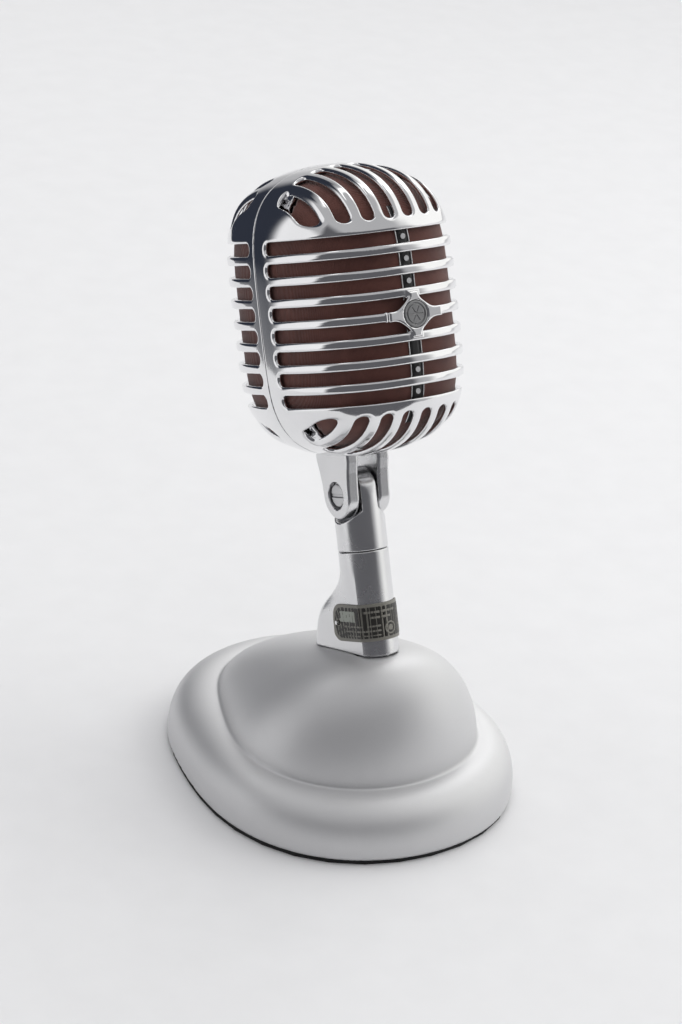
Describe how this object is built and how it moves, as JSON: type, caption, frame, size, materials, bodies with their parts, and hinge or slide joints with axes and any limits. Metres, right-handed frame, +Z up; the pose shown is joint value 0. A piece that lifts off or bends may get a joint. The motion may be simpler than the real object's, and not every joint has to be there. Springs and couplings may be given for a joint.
{
  "type": "desk microphone",
  "caption": "Ribbed two-shell cast microphone head that tilts on a forked yoke above a leaning stem, on a two-tier egg-shaped desk stand.",
  "frame": {"origin": "on the surface the stand rests on, at the centre of the stand's egg-shaped outline", "axes": "+Z up, -Y towards whoever speaks into the microphone, +X to the right seen from the front, along the tilt bolt"},
  "size_m": [0.1458, 0.1813, 0.2755],
  "materials": {
    "bright_chrome": "bright polished plating over a die casting",
    "satin_nickel": "soft satin plating with fine turning marks",
    "silver_paint": "fine-grained satin silver paint on a casting",
    "plain_steel": "plain turned or stamped steel",
    "dark_steel": "black oxide or dark japanned steel",
    "ring_aluminium": "machined aluminium",
    "copper_wire": null,
    "pin_brass": "turned brass",
    "plate_black": "etched plate filled with worn satin black",
    "silk": "close-woven red-brown silk",
    "film": "thin pressed film",
    "black_insulator": "moulded black insulator",
    "soft_rubber": "soft moulded rubber",
    "pad": "black felt pad",
    "lead_black": "insulated wire",
    "lead_red": "insulated wire"
  },
  "bodies": {
    "stand": {"foot_pad": "pad", "base_casting": "silver_paint", "bottom_plate": "plain_steel", "base_screw_1": "plain_steel", "base_screw_2": "plain_steel", "base_screw_3": "plain_steel", "stand_stud": "plain_steel", "stud_washer": "plain_steel", "stud_nut": "plain_steel", "connector_housing": "satin_nickel", "socket_sleeve": "satin_nickel", "socket_insert": "black_insulator", "contact_pin_1": "pin_brass", "contact_pin_2": "pin_brass", "contact_pin_3": "pin_brass", "nameplate": "plate_black", "nameplate_pin_1": "satin_nickel", "nameplate_pin_2": "satin_nickel", "set_screw": "dark_steel", "post_lead": "lead_black", "swivel_post": "satin_nickel", "friction_washer_1": "plain_steel", "friction_washer_2": "plain_steel"},
    "head": {"front_shell": "bright_chrome", "rear_shell": "bright_chrome", "front_cloth": "silk", "rear_cloth": "silk", "centre_strip": "dark_steel", "strip_screw_1": "satin_nickel", "strip_screw_2": "satin_nickel", "strip_screw_3": "satin_nickel", "strip_screw_4": "satin_nickel", "strip_screw_5": "satin_nickel", "badge_disc": "satin_nickel", "shell_screw_1": "plain_steel", "shell_screw_2": "plain_steel", "shell_screw_3": "plain_steel", "shell_screw_4": "plain_steel", "yoke": "satin_nickel", "yoke_screw_1": "plain_steel", "yoke_screw_2": "plain_steel", "yoke_screw_3": "plain_steel", "yoke_screw_4": "plain_steel", "pivot_bolt": "plain_steel", "pivot_nut": "plain_steel", "resonator_cap": "dark_steel", "diaphragm_ring": "ring_aluminium", "diaphragm": "film", "voice_coil": "copper_wire", "front_plate": "plain_steel", "pole_piece": "plain_steel", "magnet": "dark_steel", "magnet_cup": "plain_steel", "rear_chamber": "black_insulator", "shock_mount_ring": "soft_rubber", "cartridge_bracket": "plain_steel", "transformer_core": "dark_steel", "transformer_winding": "copper_wire", "cartridge_lead_1": "lead_red", "cartridge_lead_2": "lead_black"}
  },
  "joints": [
    {"name": "head_tilt", "type": "hinge", "parent": "stand", "child": "head", "pos_m": [0, -0.0003, 0.13395], "axis": [1, 0, 0], "range_deg": [-45, 45]}
  ]
}
